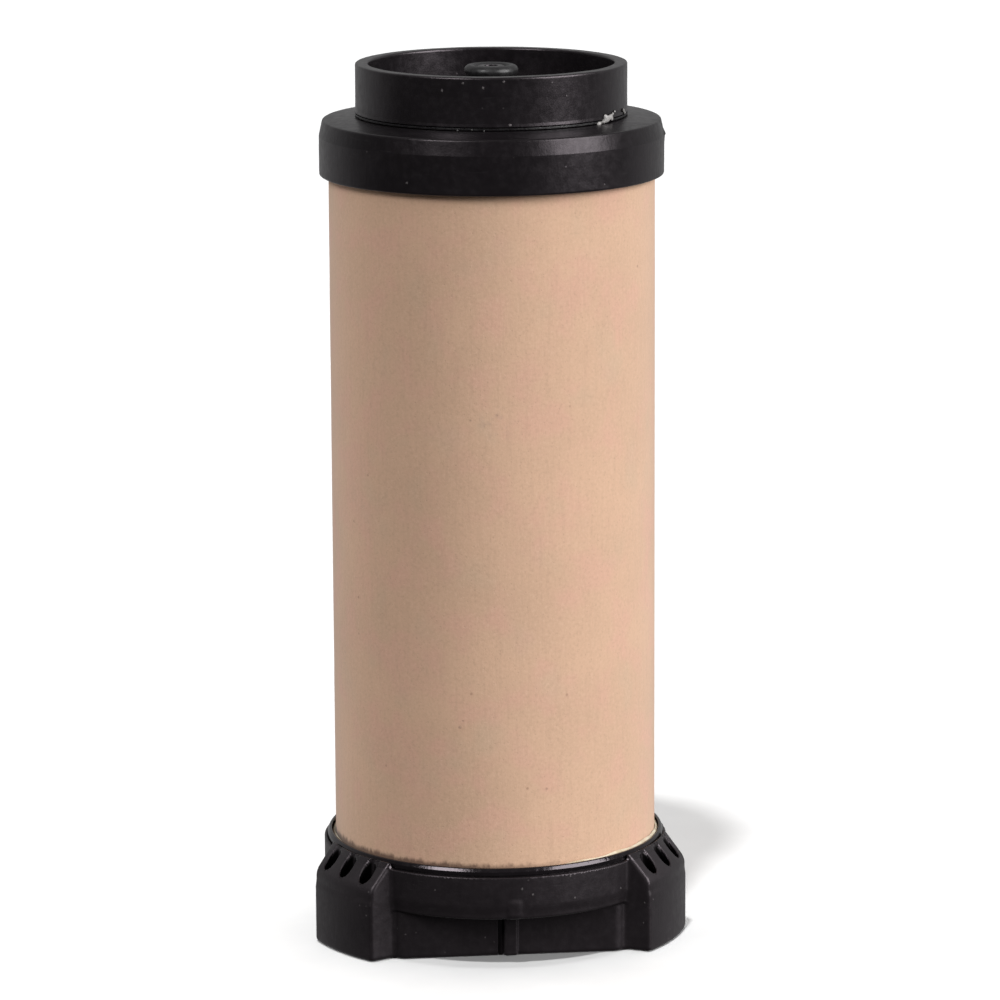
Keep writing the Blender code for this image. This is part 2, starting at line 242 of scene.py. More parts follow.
def with_supports(points):
    """Closed outline with extra points that keep the shading of long runs flat."""
    result = []
    for index, start in enumerate(points):
        end = points[(index + 1) % len(points)]
        run = end - start
        length = run.length
        result.append(start)
        if length < 3 * SUPPORT:
            continue
        steps = max(1, math.ceil((length - 2 * SUPPORT) / LONGEST_STEP))
        for step in range(steps + 1):
            along = SUPPORT + (length - 2 * SUPPORT) * step / steps
            result.append(start + run * (along / length))
    return result


def turned(name, corners, sides=SIDES, shape=None):
    """Turn an outline of (radius, height, round) corners about Z.

    shape(radius, angle, height) may return a changed (radius, height).
    """
    outline = with_supports(rounded(corners))
    verts = []
    rows = []
    for point in outline:
        count = sides if point.x > 0.0 else 1
        rows.append([len(verts) + side for side in range(count)])
        for side in range(count):
            angle = math.tau * side / sides
            radius, height = point
            if shape:
                radius, height = shape(radius, angle, height)
            verts.append((radius * math.cos(angle), radius * math.sin(angle), height))
    faces = []
    for index, below in enumerate(rows):
        above = rows[(index + 1) % len(rows)]
        if len(below) + len(above) == 2:
            continue
        for side in range(sides):
            step = (side + 1) % sides
            quad = (below[side % len(below)], below[step % len(below)],
                    above[step % len(above)], above[side % len(above)])
            faces.append(tuple(dict.fromkeys(quad)))
    return new_object(name, verts, faces)


def ripple(amount, scale, seed):
    """Shape function that moves a moulded surface in and out a little."""
    def shape(radius, angle, height):
        place = Vector((radius * math.cos(angle), radius * math.sin(angle), height)) * scale
        shift = amount * noise.noise(place + Vector((seed, seed, seed)))
        return radius + shift, height
    return shape


def angle_gap(a, b):
    """Smallest difference between two angles."""
    return abs((a - b + math.pi) % math.tau - math.pi)


def bell(distance, width):
    return math.exp(-(distance / width) ** 2)


# ---------------------------------------------------------------- turned pieces

def make_ceramic():
    corners = [
        (CERAMIC_BORE_R, CERAMIC_BOTTOM, 0.2),
        (CERAMIC_R, CERAMIC_BOTTOM, 0.3),
        (CERAMIC_R, CERAMIC_TOP, 0.3),
        (CERAMIC_BORE_R, CERAMIC_TOP, 0.2),
    ]
    wave = ripple(0.04, 0.09, 3.1)

    def shape(radius, angle, height):
        if radius < CERAMIC_R - 0.5:
            return radius, height
        moved, height = wave(radius, angle, height)
        return min(moved, CERAMIC_R), height
    return turned("ceramic_body", corners, shape=shape)


def potting_meniscus(base, rise, seed):
    """Height of a hand-run resin edge round the tube."""
    def height(angle):
        place = Vector((math.cos(angle), math.sin(angle), seed)) * 6.0
        return base + rise * (0.5 + noise.noise(place)) * 0.8
    return height


def make_lower_potting():
    """Resin under the tube and up round it; it rises highest at the right."""
    corners = [
        (PAD_INNER_R, LOWER_PAD, 0.1),
        (POTTING_R, LOWER_PAD, 0.1),
        (POTTING_R, POTTING_TOP, 0.12),
        (POTTING_BORE_R, POTTING_TOP + 0.25, 0.08),
        (POTTING_BORE_R, LOWER_PAD + PAD_THICK, 0.1),
        (PAD_INNER_R, LOWER_PAD + PAD_THICK, 0.1),
    ]
    edge = potting_meniscus(-0.55, 0.35, 4.0)

    def shape(radius, angle, height):
        if height > POTTING_TOP - 0.4:
            side = angle_gap(angle, POTTING_HIGH_SIDE)
            height += edge(angle) + POTTING_RISE * bell(side, POTTING_HIGH_WIDTH)
        return radius, height
    return turned("lower_potting_bead", corners, shape=shape)


def make_upper_potting():
    corners = [
        (PAD_INNER_R, UPPER_PAD - PAD_THICK, 0.1),
        (POTTING_BORE_R, UPPER_PAD - PAD_THICK, 0.1),
        (POTTING_BORE_R, UPPER_POTTING_BOTTOM - 0.2, 0.08),
        (UPPER_POTTING_R, UPPER_POTTING_BOTTOM, 0.12),
        (UPPER_POTTING_R, UPPER_PAD, 0.1),
        (PAD_INNER_R, UPPER_PAD, 0.1),
    ]
    edge = potting_meniscus(0.0, 0.4, 9.0)

    def shape(radius, angle, height):
        if height < UPPER_POTTING_BOTTOM + 0.4:
            height -= edge(angle)
        return radius, height
    return turned("upper_potting_bead", corners, shape=shape)


def make_lower_cap():
    """Cup round the tube's lower end; its glossy lip stands above the seam."""
    corners = [
        (0.0, CUP_BOTTOM, 0.0),
        (CUP_OUTER_R, CUP_BOTTOM, 0.3),
        (CUP_OUTER_R, LIP_UNDERSIDE, 0.1),
        (LIP_R, LIP_UNDERSIDE, 0.12),
        (LIP_R, RIM_TOP - 0.55, 0.35),
        (LIP_R - 0.3, RIM_TOP, 0.2),
        (CUP_BORE_R, RIM_TOP, 0.12),
        (CUP_BORE_R, CUP_FLOOR_TOP, 0.2),
        (0.0, CUP_FLOOR_TOP, 0.0),
    ]
    wave = ripple(0.03, 0.12, 7.7)

    def shape(radius, angle, height):
        return wave(radius, angle, height) if radius > CUP_BORE_R - 1.0 else (radius, height)
    return turned("lower_cup", corners, shape=shape)


def make_outlet_cap():
    """Upper cap with a tapered top edge, a ledge and a boss inside the collar."""
    corners = [
        (CAP_HOLE_R, COUNTERBORE_TOP, 0.1),
        (COUNTERBORE_R, COUNTERBORE_TOP, 0.1),
        (COUNTERBORE_R, CAP_PLUG_BOTTOM, 0.2),
        (CAP_PLUG_R, CAP_PLUG_BOTTOM, 0.3),
        (CAP_PLUG_R, CAP_ROOF, 0.2),
        (CUP_BORE_R, CAP_ROOF, 0.2),
        (CUP_BORE_R, CAP_BOTTOM, 0.1),
        (CAP_R, CAP_BOTTOM, 0.3),
        (CAP_R, CAP_CREASE, 0.35),
        (CAP_EDGE_R, CAP_EDGE, 0.4),
        (CAP_LEDGE_R, CAP_LEDGE, 0.3),
        (CAP_BOSS_R, CAP_LEDGE, 0.15),
        (CAP_BOSS_R, WELL_FLOOR, 0.2),
        (CAP_HOLE_R, WELL_FLOOR, 0.25),
    ]
    wave = ripple(0.035, 0.16, 1.9)

    def shape(radius, angle, height):
        radius, height = wave(radius, angle, height)
        if radius > CAP_EDGE_R - 0.4:
            across = angle_gap(angle, BURR_ANGLE) * radius
            away = math.hypot(across, height - BURR_HEIGHT)
            radius += BURR_PROUD * bell(away, BURR_WIDTH)
        return radius, height
    return turned("outlet_cap_moulding", corners, shape=shape)


def make_collar():
    """Upright collar with softly rounded, slightly uneven rims."""
    corners = [
        (COLLAR_BORE_R, COLLAR_BOTTOM, 0.15),
        (COLLAR_R + 0.06, COLLAR_BOTTOM, 0.05),
        (COLLAR_R, COLLAR_BOTTOM + COLLAR_FOOT, 0.3),
        (COLLAR_R, COLLAR_TOP, 0.36),
        (COLLAR_BORE_R, COLLAR_TOP, 0.36),
    ]
    wave = ripple(0.05, 0.14, 5.3)

    def shape(radius, angle, height):
        radius, height = wave(radius, angle, height)
        if height > COLLAR_TOP - 0.5:
            place = Vector((math.cos(angle), math.sin(angle), 2.0)) * 3.0
            height -= 0.05 * (1 + noise.noise(place))
        return radius, height
    return turned("outlet_collar_moulding", corners, shape=shape)


def make_bond():
    """Adhesive line under the collar, flush with its wall."""
    corners = [
        (COLLAR_BORE_R + 0.1, BOND_BOTTOM, 0.05),
        (COLLAR_R + 0.04, BOND_BOTTOM, 0.03),
        (COLLAR_R + 0.04, BOND_TOP, 0.03),
        (COLLAR_BORE_R + 0.1, BOND_TOP, 0.05),
    ]

    def shape(radius, angle, height):
        if radius > COLLAR_R - 0.5:
            place = Vector((math.cos(angle), math.sin(angle), 1.0)) * 9.0
            radius += 0.04 * noise.noise(place)
        return radius, height
    return turned("collar_bond_line", corners, shape=shape)


def make_spigot():
    """Stepped outlet tube with a softly rounded nipple."""
    flange_top = SPIGOT_BOTTOM + SPIGOT_FLANGE
    corners = [
        (SPIGOT_BORE_R, SPIGOT_BOTTOM, 0.1),
        (FLANGE_R, SPIGOT_BOTTOM, 0.15),
        (FLANGE_R, flange_top, 0.15),
        (STEM_R, flange_top, 0.1),
        (STEM_R, STEM_TOP, 0.3),
        (NIPPLE_R, STEM_TOP, 0.1),
        (NIPPLE_R, NIPPLE_TOP, 0.4),
        (SPIGOT_BORE_R, NIPPLE_TOP, 0.2),
    ]
    return turned("outlet_spigot_moulding", corners, SIDES_SMALL)


def make_oring():
    """Round-section ring with a faint moulding flash round its middle."""
    cord = (ORING_TOP - ORING_BOTTOM) / 2
    centre = ORING_R - cord
    middle = (ORING_TOP + ORING_BOTTOM) / 2
    verts = []
    faces = []
    for step in range(ORING_STEPS):
        turn = math.tau * step / ORING_STEPS
        radius = cord * (1 - ORING_FLASH + ORING_FLASH * bell(math.sin(turn), 0.12))
        for side in range(SIDES_SMALL):
            angle = math.tau * side / SIDES_SMALL
            out = centre + radius * math.cos(turn)
            height = middle + radius * math.sin(turn)
            verts.append((out * math.cos(angle), out * math.sin(angle), height))
    for step in range(ORING_STEPS):
        here = step * SIDES_SMALL
        there = (step + 1) % ORING_STEPS * SIDES_SMALL
        for side in range(SIDES_SMALL):
            nxt = (side + 1) % SIDES_SMALL
            faces.append((here + side, here + nxt, there + nxt, there + side))
    return new_object("spigot_oring_rubber", verts, faces)


# ---------------------------------------------------------------- moulded base

def soft_max(a, b, soft):
    """Intersection of two distances with its edge rounded over about soft mm."""
    blend = np.maximum(soft - np.abs(a - b), 0.0) / soft
    return np.maximum(a, b) + blend * blend * (soft / 4)


def soft_min(a, b, soft):
    return -soft_max(-a, -b, soft)


def eased(share):
    """Share held to 0..1 and eased at both ends."""
    share = np.clip(share, 0.0, 1.0)
    return share * share * (3.0 - 2.0 * share)


def ring_body(r, u, z):
    """Foot with its flats, the ring above it and the hollow for the cup."""
    foot = soft_max(r - BASE_R, u - FLAT_DISTANCE, 0.5)
    foot = soft_max(foot, -z, BOTTOM_ROUND)
    foot = np.maximum(foot, z - (STEP + 0.8))
    taper = RING_TAPER * (1.0 - eased((z - STEP - 0.4) / 2.0))
    ring = soft_max(r - RING_R + taper, STEP - z, 0.45)
    ring = soft_max(ring, z - RING_TOP, 0.12)
    body = soft_min(foot, ring, 0.15)
    cavity = np.maximum(r - BASE_R, PLATE_TOP - z)
    return soft_max(body, -cavity, 0.1)


def lug_slope(r, z):
    """Distance above the slope on top of a lug."""
    rise = LUG_TOP - LUG_SLOPE_FOOT
    run = LUG_UPPER_R - LUG_TOP_R
    return ((r - LUG_UPPER_R) * rise + (z - LUG_SLOPE_FOOT) * run) / math.hypot(rise, run)


def lug_body(r, lug_u, lug_v, z):
    """One lug: side walls with draft, a faint swelling low down and the sloped top."""
    draft = (LUG_HALF_ROOT - LUG_HALF_TIP) / (LUG_R + 1.0 - LUG_ROOT_R)
    side = lug_v - (LUG_HALF_ROOT - (lug_u - LUG_ROOT_R) * draft)
    outer = r - LUG_R + (LUG_R - LUG_UPPER_R) * eased((z - LUG_STEP) / 1.2 + 0.5)
    outer = soft_max(outer, lug_slope(r, z), 0.6)
    lug = soft_max(side, outer, 0.55)
    lug = soft_max(lug, -z, BOTTOM_ROUND)
    lug = soft_max(lug, z - LUG_TOP, 0.2)
    inner = np.maximum(LUG_INNER_R - r, PLATE_TOP - z)
    return soft_max(lug, np.where(z > PLATE_TOP + 1.0, inner, LUG_ROOT_R - r), 0.1)


def slot_cut(r, lug_u, lug_v, z):
    """Slots in a lug, the middle one and, folded, the outer two.

    Each is deep, and a shallow groove fades out above its upper end.
    """
    cuts = []
    for shift in (0.0, SLOT_PITCH):
        outer = math.sqrt(SLOT_OUTER ** 2 - shift ** 2) - SLOT_HALF
        inner = math.sqrt(SLOT_DEEP_R ** 2 - shift ** 2) + SLOT_HALF
        along = lug_u - np.clip(lug_u, min(inner, outer), outer)
        deep = np.hypot(along, lug_v - shift) - SLOT_HALF
        along = np.maximum(lug_u - outer, 0.0)
        groove = np.hypot(along, lug_v - shift) - SLOT_HALF
        sink = GROOVE_SINK * np.clip((r - LUG_TOP_R) / 1.3, 0.0, 1.0)
        groove = np.maximum(groove, -lug_slope(r, z) - sink)
        cuts.append(soft_min(np.maximum(deep, SLOT_FLOOR - z), groove, 0.3))
    return np.minimum(*cuts)


def key_rib(u, v, z):
    """Rib on the flat and the shallow nub above it on the ring."""
    rib = soft_max(v - RIB_HALF, u - FLAT_DISTANCE - RIB_PROUD, 0.35)
    rib = soft_max(rib, RIB_BOTTOM - z, 0.3)
    rib = np.maximum(rib, z - STEP - 0.4)
    rib = np.maximum(rib, FLAT_DISTANCE - 1.0 - u)
    nub = soft_max(v - NUB_HALF, u - RING_R - NUB_PROUD, 0.9)
    nub = soft_max(nub, np.abs(z - (STEP + NUB_TOP) / 2) - (NUB_TOP - STEP) / 2, 0.9)
    nub = np.maximum(nub, RING_R - 0.4 - u)
    return soft_min(rib, nub, 0.3)


def rib_groove(u, side_v, z):
    """Narrow groove in the flat along one side of its rib."""
    groove = np.abs(side_v + RIB_HALF + GROOVE_HALF) - GROOVE_HALF
    groove = np.maximum(groove, FLAT_DISTANCE - GROOVE_DEPTH - u)
    return np.maximum(groove, z - STEP)


def underside_cut(r, web, z):
    """Six pockets round the hub and a shallow dish in it with the gate's stub."""
    pocket = soft_max(POCKET_INNER_R - r, r - POCKET_OUTER_R, 0.3)
    pocket = soft_max(pocket, WEB_HALF + WEB_DRAFT * z - web, 1.4)
    pocket = soft_max(pocket, z - POCKET_DEPTH, 0.6)
    dish = np.maximum(r - DISH_R, z - DISH_DEPTH)
    gate = np.maximum(r - GATE_R, GATE_BOTTOM - z)
    dish = np.maximum(dish, -gate)
    return np.minimum(pocket, dish)


def base_distance(x, y, z):
    """Rough signed distance to the moulded base in mm, negative inside it."""
    r = np.hypot(x, y)
    turn = np.arctan2(y, x) - FRONT
    turn = (turn + FLAT_PERIOD / 2) % FLAT_PERIOD - FLAT_PERIOD / 2
    side_v = r * np.sin(turn)
    turn = np.abs(turn)
    u = r * np.cos(turn)
    v = r * np.sin(turn)
    lug_u = r * np.cos(FLAT_PERIOD / 2 - turn)
    lug_v = r * np.sin(FLAT_PERIOD / 2 - turn)
    solid = soft_min(ring_body(r, u, z), lug_body(r, lug_u, lug_v, z), 0.6)
    solid = soft_min(solid, key_rib(u, v, z), 0.3)
    solid = soft_max(solid, -rib_groove(u, side_v, z), 0.15)
    solid = soft_max(solid, -slot_cut(r, lug_u, lug_v, z), 0.2)
    return soft_max(solid, -underside_cut(r, np.minimum(v, lug_v), z), 0.35)


def slopes_and_gaps(distance, points):
    """Unit gradients of a distance function and its values at some points."""
    step = 0.02
    x, y, z = points.T
    slopes = []
    for axis in range(3):
        shift = np.zeros(3)
        shift[axis] = step
        ahead = distance(x + shift[0], y + shift[1], z + shift[2])
        behind = distance(x - shift[0], y - shift[1], z - shift[2])
        slopes.append((ahead - behind) / (2 * step))
    gradient = np.stack(slopes, axis=1)
    size = np.maximum(np.linalg.norm(gradient, axis=1), 1e-6)
    return gradient / size[:, None], distance(x, y, z) / size


def surface_cells(values):
    """Cells that the surface passes through and the mean of their edge crossings."""
    corners = [(i, j, k) for i in (0, 1) for j in (0, 1) for k in (0, 1)]
    nx, ny, nz = (n - 1 for n in values.shape)
    inside = values < 0
    count = sum(inside[i:i + nx, j:j + ny, k:k + nz].astype(np.int8) for i, j, k in corners)
    cells = np.argwhere((count > 0) & (count < 8))
    total = np.zeros(cells.shape)
    crossings = np.zeros(len(cells))
    for start in corners:
        for axis in range(3):
            if start[axis]:
                continue
            end = list(start)
            end[axis] = 1
            a = values[tuple((cells + start).T)]
            b = values[tuple((cells + end).T)]
            crossed = (a < 0) != (b < 0)
            share = np.where(crossed, a / np.where(crossed, a - b, 1.0), 0.0)
            point = np.array(start, float) + share[:, None] * np.eye(3)[axis]
            total += point * crossed[:, None]
            crossings += crossed
    return cells, total / crossings[:, None]


def surface_quads(values, cells):
    """One quad round every grid edge that crosses the surface."""
    index = np.full(values.shape, -1, np.int32)
    index[tuple(cells.T)] = np.arange(len(cells))
    inside = values < 0
    quads = []
    for axis in range(3):
        other, third = (axis + 1) % 3, (axis + 2) % 3
        ahead = np.roll(inside, -1, axis)
        crossed = np.argwhere(inside != ahead)
        leaving = inside[tuple(crossed.T)]
        back_other = np.zeros(3, int)
        back_other[other] = 1
        back_third = np.zeros(3, int)
        back_third[third] = 1
        ring = (crossed - back_other - back_third, crossed - back_third, crossed,
                crossed - back_other)
        quad = np.stack([index[tuple(cell.T)] for cell in ring], axis=1)
        quads.append(np.where(leaving[:, None], quad, quad[:, ::-1]))
    return np.concatenate(quads)


def thinned(obj, ratio):
    """Replace an object's mesh by its collapse-decimated copy."""
    modifier = obj.modifiers.new("thin", 'DECIMATE')
    modifier.ratio = ratio
    graph = bpy.context.evaluated_depsgraph_get()
    mesh = bpy.data.meshes.new_from_object(obj.evaluated_get(graph))
    obj.modifiers.clear()
    obj.data = mesh
    mesh.name = obj.name
    return obj


def skinned(name, distance, low, high, grid):
    """Closed mesh round a distance function's negative part, within a box in mm."""
    axes = [np.arange(a - 3 * grid, b + 3 * grid, grid) for a, b in zip(low, high)]
    values = distance(*np.meshgrid(*axes, indexing="ij"))
    cells, shares = surface_cells(values)
    points = np.array([axis[0] for axis in axes]) + (cells + shares) * grid
    for _ in range(3):
        normals, gap = slopes_and_gaps(distance, points)
        points -= normals * np.clip(gap, -grid / 2, grid / 2)[:, None]
    return new_object(name, points, surface_quads(values, cells).tolist())


def make_base():
    """Lug base: its rounded mould shape sampled on a grid, skinned, and flat underneath."""
    low, high = (-LUG_R, -LUG_R, 0.0), (LUG_R, LUG_R, RIM_TOP)
    base = thinned(skinned("lug_base_moulding", base_distance, low, high, BASE_GRID), BASE_KEEP)
    found = np.zeros(len(base.data.vertices) * 3)
    base.data.vertices.foreach_get("co", found)
    found[2::3] = np.maximum(found[2::3], 0.0)
    base.data.vertices.foreach_set("co", found)
    normals, _ = slopes_and_gaps(base_distance, found.reshape(-1, 3) / MM)
    base.data.shade_smooth()
    base.data.normals_split_custom_set_from_vertices(normals.tolist())
    return base


def squeezed_beads():
    """Centre (x, y, z) and radius of the beads of squeezed-out adhesive.

    Each starts as degrees to the right, height above the ledge and radius.
    """
    beads = []
    for share in np.linspace(0.0, 1.0, 8):
        size = 0.2 + 0.2 * math.sin(math.pi * share) ** 2
        beads.append((50.0 + 13.0 * share, 0.1 + 1.4 * share ** 1.4, size))
    beads += [
        (50.5, 0.08, 0.22), (55.0, 1.1, 0.3), (56.0, 0.7, 0.3), (60.0, 0.5, 0.28),
        (73.0, 1.25, 0.3), (75.0, 0.8, 0.24), (-14.0, 0.15, 0.17), (-8.0, 0.25, 0.16),
        (-3.0, 0.1, 0.16), (140.0, 0.15, 0.3), (146.0, 0.2, 0.24), (215.0, 0.1, 0.26),
    ]
    return [on_wall(degrees, CAP_LEDGE + rise, COLLAR_R + 0.3 * size, size)
            for degrees, rise, size in beads]


def squeeze_distance(x, y, z):
    """Distance to the squeezed-out adhesive, its beads run together."""
    total = None
    for bead_x, bead_y, bead_z, size in squeezed_beads():
        gap = np.sqrt((x - bead_x) ** 2 + (y - bead_y) ** 2 + (z - bead_z) ** 2) - size
        total = gap if total is None else soft_min(total, gap, 0.5)
    return total


def make_squeeze_out():
    """Adhesive squeezed out from under the collar: a run at the right and small lumps."""
    reach = COLLAR_R + 1.0
    low, high = (-reach, -reach, CAP_LEDGE - 0.5), (reach, reach, CAP_LEDGE + 2.2)
    return skinned("squeezed_out_adhesive", squeeze_distance, low, high, BEAD_GRID)


# ---------------------------------------------------------------- material nodes

class Surface:
    """A Principled material and short calls that add nodes to it."""

    def __init__(self, name, roughness):
        self.material = bpy.data.materials.new(name)
        self.material.use_nodes = True
        self.tree = self.material.node_tree
        self.shader = self.tree.nodes["Principled BSDF"]
        self.shader.inputs["Roughness"].default_value = roughness
        coordinates = self.tree.nodes.new("ShaderNodeTexCoord")
        scale = self.tree.nodes.new("ShaderNodeMapping")
        scale.inputs["Scale"].default_value = (1 / MM, 1 / MM, 1 / MM)
        self.tree.links.new(coordinates.outputs["Object"], scale.inputs["Vector"])
        self.place = scale.outputs["Vector"]

    def node(self, kind, links=None, **values):
        """Add a node; links and values go to its inputs by name or number."""
        made = self.tree.nodes.new(kind)
        for key, value in values.items():
            setattr(made, key, value)
        for key, value in (links or {}).items():
            if isinstance(value, bpy.types.NodeSocket):
                self.tree.links.new(value, made.inputs[key])
            else:
                made.inputs[key].default_value = value
        return made

    def stretched(self, x, y, z):
        """Place with each axis scaled, for grain that runs one way."""
        made = self.node("ShaderNodeMapping", {"Vector": self.place, "Scale": (x, y, z)})
        return made.outputs["Vector"]

    def noise(self, scale, detail=3.0, rough=0.55, place=None):
        links = {"Vector": place or self.place, "Scale": scale, "Detail": detail,
                 "Roughness": rough}
        return self.node("ShaderNodeTexNoise", links).outputs["Fac"]

    def cells(self, scale, randomness=1.0):
        links = {"Vector": self.place, "Scale": scale, "Randomness": randomness}
        return self.node("ShaderNodeTexVoronoi", links).outputs["Distance"]

    def math(self, operation, a, b=0.0, c=0.0):
        made = self.node("ShaderNodeMath", {0: a, 1: b, 2: c}, operation=operation)
        return made.outputs[0]

    def step(self, value, low, high, to_low=0.0, to_high=1.0):
        """Smooth ramp of a value from low to high."""
        links = {"Value": value, "From Min": low, "From Max": high,
                 "To Min": to_low, "To Max": to_high}
        made = self.node("ShaderNodeMapRange", links, interpolation_type='SMOOTHSTEP')
        return made.outputs["Result"]

    def mix(self, share, a, b):
        """Mix two colours."""
        made = self.node("ShaderNodeMix", data_type='RGBA')
        for socket, value in ((0, share), (6, a), (7, b)):
            if isinstance(value, bpy.types.NodeSocket):
                self.tree.links.new(value, made.inputs[socket])
            elif socket:
                made.inputs[socket].default_value = (*value, 1.0)
            else:
                made.inputs[socket].default_value = value
        return made.outputs[2]

    def product(self, *factors):
        """Factors multiplied together."""
        total = factors[0]
        for factor in factors[1:]:
            total = self.math('MULTIPLY', total, factor)
        return total

    def between(self, value, low, high, soft):
        """One from low to high, falling to zero over soft beyond them."""
        return self.product(self.step(value, low - soft, low), self.step(value, high + soft, high))

    def axis(self, name):
        """One coordinate of the place, in mm."""
        return self.node("ShaderNodeSeparateXYZ", {0: self.place}).outputs[name]

    def distance_from_axis(self):
        """Distance of the place from the cartridge's axis, in mm."""
        squares = (self.math('POWER', self.axis("X"), 2.0), self.math('POWER', self.axis("Y"), 2.0))
        return self.math('SQRT', self.math('ADD', *squares))

    def spots(self, places, soft=0.5):
        """Small round marks at (x, y, z, radius) places in mm."""
        total = None
        ragged = self.step(self.noise(3.5, 2.0), 0.3, 0.7, -0.05, 0.07)
        for x, y, z, radius in places:
            gap = self.node("ShaderNodeVectorMath", {0: self.place, 1: (x, y, z)},
                            operation='DISTANCE').outputs["Value"]
            gap = self.math('ADD', gap, ragged)
            mark = self.step(gap, radius * soft, radius, 1.0, 0.0)
            total = mark if total is None else self.math('MAXIMUM', total, mark)
        return total

    def colour(self, socket):
        self.tree.links.new(socket, self.shader.inputs["Base Color"])

    def roughness(self, socket):
        self.tree.links.new(socket, self.shader.inputs["Roughness"])

    def bump(self, height, depth_mm):
        links = {"Height": height, "Distance": depth_mm * MM, "Strength": 1.0}
        made = self.node("ShaderNodeBump", links)
        self.tree.links.new(made.outputs["Normal"], self.shader.inputs["Normal"])


def on_wall(view_degrees, height, radius, size):
    """Mark on a round wall, its angle counted to the right from the camera's side."""
    angle = FRONT + CAMERA_TURN + math.radians(view_degrees)
    return radius * math.cos(angle), radius * math.sin(angle), height, size


def ceramic_material():
    """Unglazed tan ceramic: fine grain, faint drawn lines, pores, specks and scuffs."""
    s = Surface("ceramic", 0.85)
    s.shader.inputs["Specular IOR Level"].default_value = 0.3
    s.shader.inputs["Sheen Weight"].default_value = 0.36
    s.shader.inputs["Sheen Roughness"].default_value = 0.45
    cloud = s.noise(0.045, 4.0, 0.6)
    colour = s.mix(s.step(cloud, 0.3, 0.7), (0.566, 0.368, 0.250), (0.621, 0.401, 0.272))
    tint = s.noise(0.16, 2.0, 0.5)
    colour = s.mix(s.step(tint, 0.45, 0.7, 0.0, 0.6), colour, (0.63, 0.365, 0.272))
    tint = s.noise(0.13, 2.0, 0.5, s.stretched(1.0, 1.3, 0.8))
    colour = s.mix(s.step(tint, 0.52, 0.8, 0.0, 0.45), colour, (0.53, 0.385, 0.265))
    grain = s.noise(2.2, 4.0, 0.65)
    colour = s.mix(s.step(grain, 0.50, 0.30, 0.0, 0.3), colour, (0.42, 0.265, 0.18))
    colour = s.mix(s.step(grain, 0.50, 0.70, 0.0, 0.3), colour, (0.70, 0.485, 0.35))
    drawn = s.noise(1.5, 3.0, 0.6, s.stretched(1.0, 1.0, 0.08))
    colour = s.mix(s.step(drawn, 0.50, 0.32, 0.0, 0.12), colour, (0.45, 0.29, 0.20))
    pore = s.step(s.cells(1.1), 0.18, 0.0)
    colour = s.mix(s.math('MULTIPLY', pore, 0.35), colour, (0.34, 0.21, 0.15))
    specks = s.step(s.cells(0.16), 0.05, 0.015)
    colour = s.mix(s.math('MULTIPLY', specks, 0.5), colour, (0.25, 0.13, 0.09))
    marks = s.spots([
        on_wall(18.5, 27.5, CERAMIC_R, 0.34),
        on_wall(-12.1, 37.4, CERAMIC_R, 0.38),
        on_wall(-11.0, 38.4, CERAMIC_R, 0.26),
        on_wall(1.5, 85.6, CERAMIC_R, 0.28),
        on_wall(-7.8, 84.8, CERAMIC_R, 0.28),
    ], 0.2)
    colour = s.mix(s.math('MULTIPLY', marks, 0.4), colour, (0.16, 0.09, 0.075))
    scuff = s.math('MULTIPLY', s.spots([on_wall(0.5, 84.0, CERAMIC_R, 4.0)], 0.1),
                   s.step(s.noise(0.8, 3.0, 0.6), 0.5, 0.65, 0.0, 0.3))
    colour = s.mix(scuff, colour, (0.40, 0.27, 0.22))
    colour = s.mix(stain_at_rim(s), colour, (0.11, 0.062, 0.042))
    s.colour(colour)
    s.roughness(s.step(grain, 0.3, 0.7, 0.78, 0.95))
    height = s.math('SUBTRACT', s.noise(1.3, 5.0, 0.7), s.math('MULTIPLY', pore, 0.4))
    s.bump(s.math('ADD', height, s.math('MULTIPLY', drawn, 0.5)), 0.045)
    return s.material


def stain_at_rim(s):
    """Ragged brown stain where the tube leaves the lower cap, most at the left."""
    ragged = s.noise(0.9, 3.0, 0.6, s.stretched(1.0, 1.0, 0.5))
    rise = s.math('SUBTRACT', s.axis("Z"), RIM_TOP)
    level = s.math('SUBTRACT', rise, s.step(ragged, 0.35, 0.7, 0.0, 0.5))
    low = s.step(level, 0.5, -0.35)
    left = s.step(s.axis("X"), 14.0, -8.0, 0.1, 0.9)
    return s.math('MULTIPLY', low, left)


def painted_slot_shade(s):
    """Share of painted shade on the walls inside the lugs' slots."""
    slots_half = SLOT_PITCH + SLOT_HALF
    total = None
    for turn in range(3):
        angle = FRONT + FLAT_PERIOD / 2 + turn * FLAT_PERIOD
        outward = (math.cos(angle), math.sin(angle), 0.0)
        sideways = (-math.sin(angle), math.cos(angle), 0.0)
        along = s.node("ShaderNodeVectorMath", {0: s.place, 1: outward},
                       operation='DOT_PRODUCT').outputs["Value"]
        across = s.node("ShaderNodeVectorMath", {0: s.place, 1: sideways},
                        operation='DOT_PRODUCT').outputs["Value"]
        near = s.product(s.step(s.math('ABSOLUTE', across), slots_half + 0.8, slots_half + 0.3),
                         s.step(along, 20.0, 21.0))
        total = near if total is None else s.math('MAXIMUM', total, near)
    radius = s.distance_from_axis()
    rise = LUG_TOP - LUG_SLOPE_FOOT
    run = LUG_UPPER_R - LUG_TOP_R
    slope_radius = s.math('MULTIPLY_ADD', s.axis("Z"), -run / rise,
                          LUG_UPPER_R + LUG_SLOPE_FOOT * run / rise)
    below = s.math('SUBTRACT', slope_radius, radius)
    return s.product(total, s.step(below, 0.1, 0.5),
                     s.step(radius, SLOT_OUTER + 0.25, SLOT_OUTER + 0.1),
                     s.step(radius, RING_R + 0.1, RING_R + 0.25))


